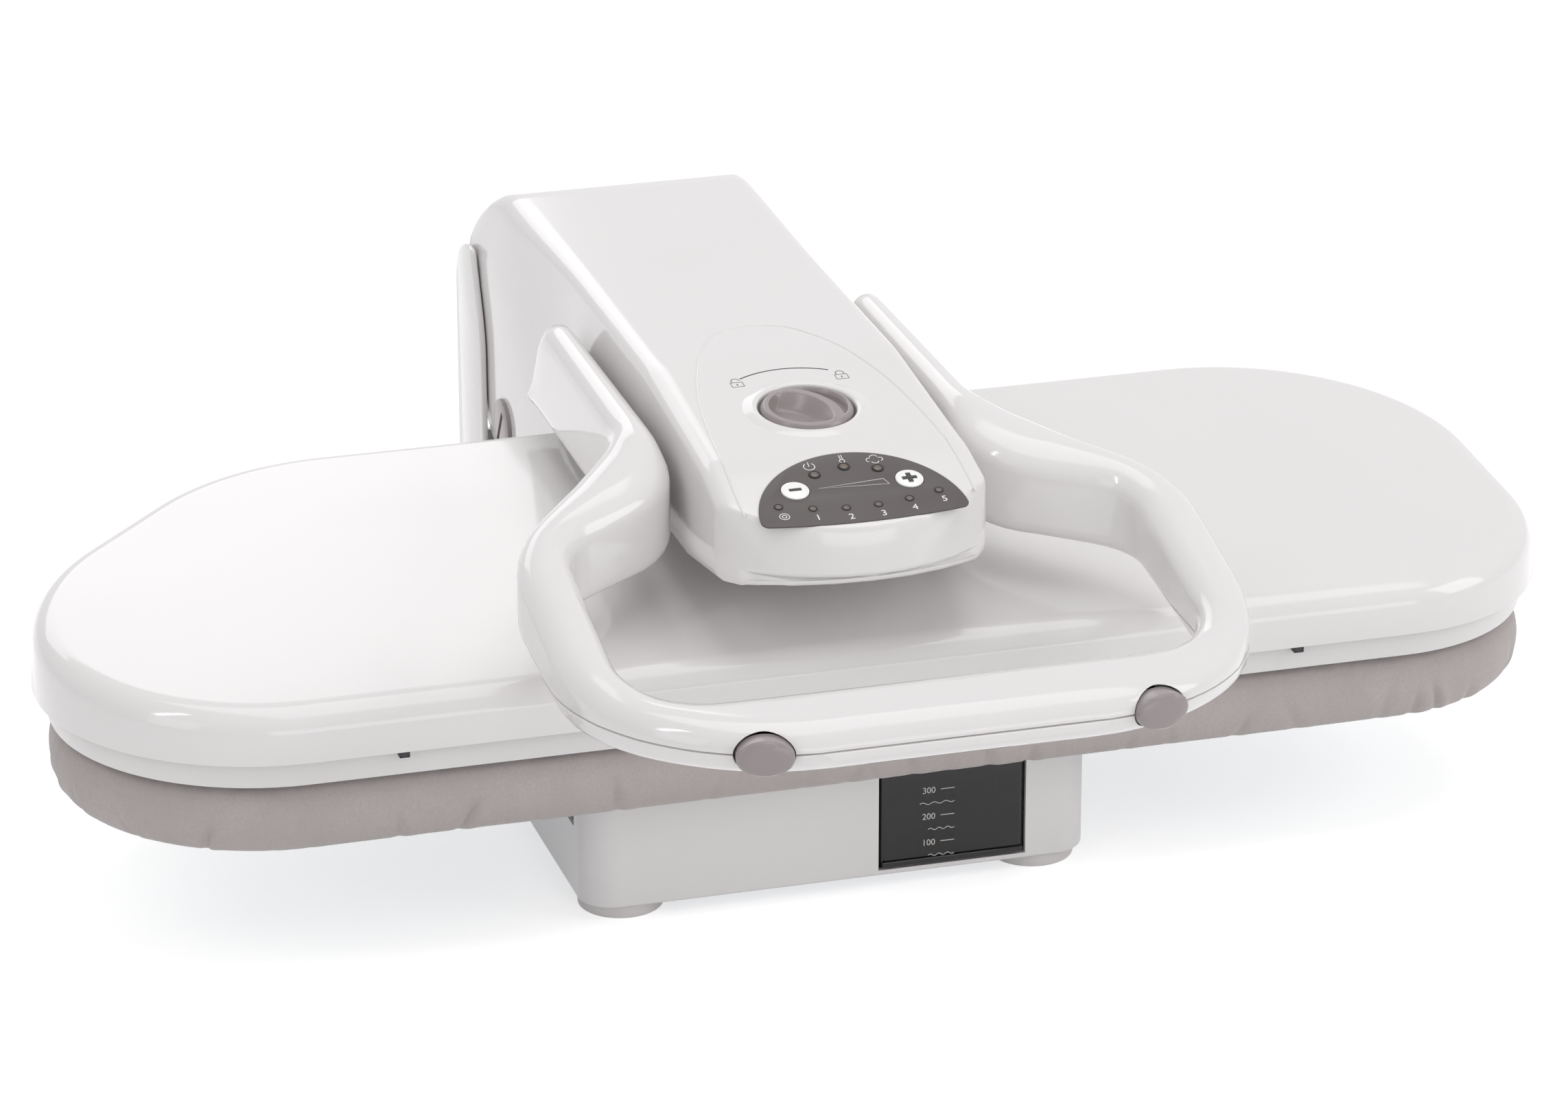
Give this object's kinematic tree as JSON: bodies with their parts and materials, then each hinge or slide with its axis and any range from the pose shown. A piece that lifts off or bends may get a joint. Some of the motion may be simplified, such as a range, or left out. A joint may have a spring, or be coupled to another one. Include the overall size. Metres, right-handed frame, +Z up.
{
  "type": "steam ironing press",
  "caption": "Tabletop steam ironing press with a padded board, hinged heated lid, press handle with steam buttons, lock knob, key panel and slide-out water tank.",
  "frame": {"origin": "middle of the press on the surface it stands on", "axes": "+X to the right seen from the handle side, +Y toward the hinge at the back, +Z up"},
  "size_m": [0.64, 0.5496, 0.204],
  "materials": {
    "white_shell": "glossy warm white",
    "steel": "bare steel sheet",
    "black_rubber": "matt",
    "bright_steel": "ground bright",
    "spring_steel": "oiled",
    "foam": "open cell foam",
    "cloth": "grey woven cotton",
    "black_plastic": "matt",
    "brass": "turned",
    "bronze": "sintered bronze",
    "clear_hose": "translucent hose",
    "green_board": "circuit board",
    "smoked_plastic": "smoked, see-through",
    "grey_plastic": "satin mid grey",
    "filter_plastic": "white filter body",
    "overlay": "printed overlay",
    "lamp": "dark lamp lens",
    "mark": "printed white",
    "key_white": "white key",
    "aluminium": "cast and polished",
    "heater": "oxidised sheath",
    "felt": "mineral felt"
  },
  "bodies": {
    "base": {"base_housing": "white_shell", "base_plate": "steel", "rubber_feet": "black_rubber", "base_screws": "steel", "rear_column": "white_shell", "cord_gland": "black_rubber", "hinge_bracket": "steel", "hinge_shaft": "bright_steel", "lifting_springs": "spring_steel", "board_pan": "steel", "foam_pad": "foam", "cloth_cover": "cloth", "tank_coupling": "black_plastic", "water_pump": "brass", "feed_hose": "clear_hose", "pressure_hose": "clear_hose", "water_union": "brass", "power_board": "green_board"},
    "tank": {"water_tank": "smoked_plastic", "tank_cap": "grey_plastic", "tank_filter": "filter_plastic", "tank_valve": "black_plastic"},
    "arm": {"arm_cover": "white_shell", "arm_frame": "steel", "arm_underside": "white_shell", "hinge_bushes": "bronze", "hinge_caps": "grey_plastic", "arm_union": "brass", "arm_hose": "clear_hose", "guide_sleeves": "bronze", "return_springs": "spring_steel", "control_board": "green_board", "panel_overlay": "overlay", "indicator_lamps": "lamp", "wedge_mark": "mark", "knob_seat": "white_shell"},
    "knob": {"lock_knob": "grey_plastic", "lock_tongue": "steel"},
    "minus": {"minus_key": "key_white"},
    "plus": {"plus_key": "key_white"},
    "handle": {"handle_upper": "white_shell", "handle_lower": "white_shell", "cross_shaft": "bright_steel", "press_cams": "steel", "button_switches": "black_plastic"},
    "steam_left": {"steam_button_left": "grey_plastic"},
    "steam_right": {"steam_button_right": "grey_plastic"},
    "platen": {"lid_cover": "white_shell", "platen_casing": "white_shell", "soleplate": "aluminium", "heating_tube": "heater", "thermostat": "black_plastic", "insulation": "felt", "press_yoke": "steel", "guide_pins": "bright_steel", "water_inlet": "black_plastic"}
  },
  "joints": [
    {"name": "arm_open", "type": "hinge", "parent": "base", "child": "arm", "pos_m": [0, 0.2, 0.104], "axis": [-1, 0, 0], "range_deg": [0, 45]},
    {"name": "handle_lift", "type": "hinge", "parent": "arm", "child": "handle", "pos_m": [0, 0.09, 0.164], "axis": [-1, 0, 0], "range_deg": [0, 16]},
    {"name": "platen_press", "type": "slide", "parent": "arm", "child": "platen", "axis": [0, 0, 1], "range_m": [0, 0.0033]},
    {"name": "lock_turn", "type": "hinge", "parent": "arm", "child": "knob", "pos_m": [0, -0.0565, 0.19874], "axis": [0, 0.1016, -0.9948], "range_deg": [0, 64]},
    {"name": "minus_press", "type": "slide", "parent": "arm", "child": "minus", "axis": [0, 0.2696, -0.963], "range_m": [0, 0.0008], "stiffness_N_per_m": 600, "springref_m": -0.0005},
    {"name": "plus_press", "type": "slide", "parent": "arm", "child": "plus", "axis": [0, 0.2696, -0.963], "range_m": [0, 0.0008], "stiffness_N_per_m": 600, "springref_m": -0.0005},
    {"name": "steam_left_press", "type": "slide", "parent": "handle", "child": "steam_left", "axis": [0.2329, 0.9725, 0], "range_m": [0, 0.002], "stiffness_N_per_m": 500, "springref_m": -0.001},
    {"name": "steam_right_press", "type": "slide", "parent": "handle", "child": "steam_right", "axis": [-0.2329, 0.9725, 0], "range_m": [0, 0.002], "stiffness_N_per_m": 500, "springref_m": -0.001},
    {"name": "tank_slide", "type": "slide", "parent": "base", "child": "tank", "axis": [0, -1, 0], "range_m": [0, 0.14]}
  ],
  "couplings": [
    {"joint": "platen_press", "follows": "handle_lift", "m_per_rad": 0.0111}
  ]
}
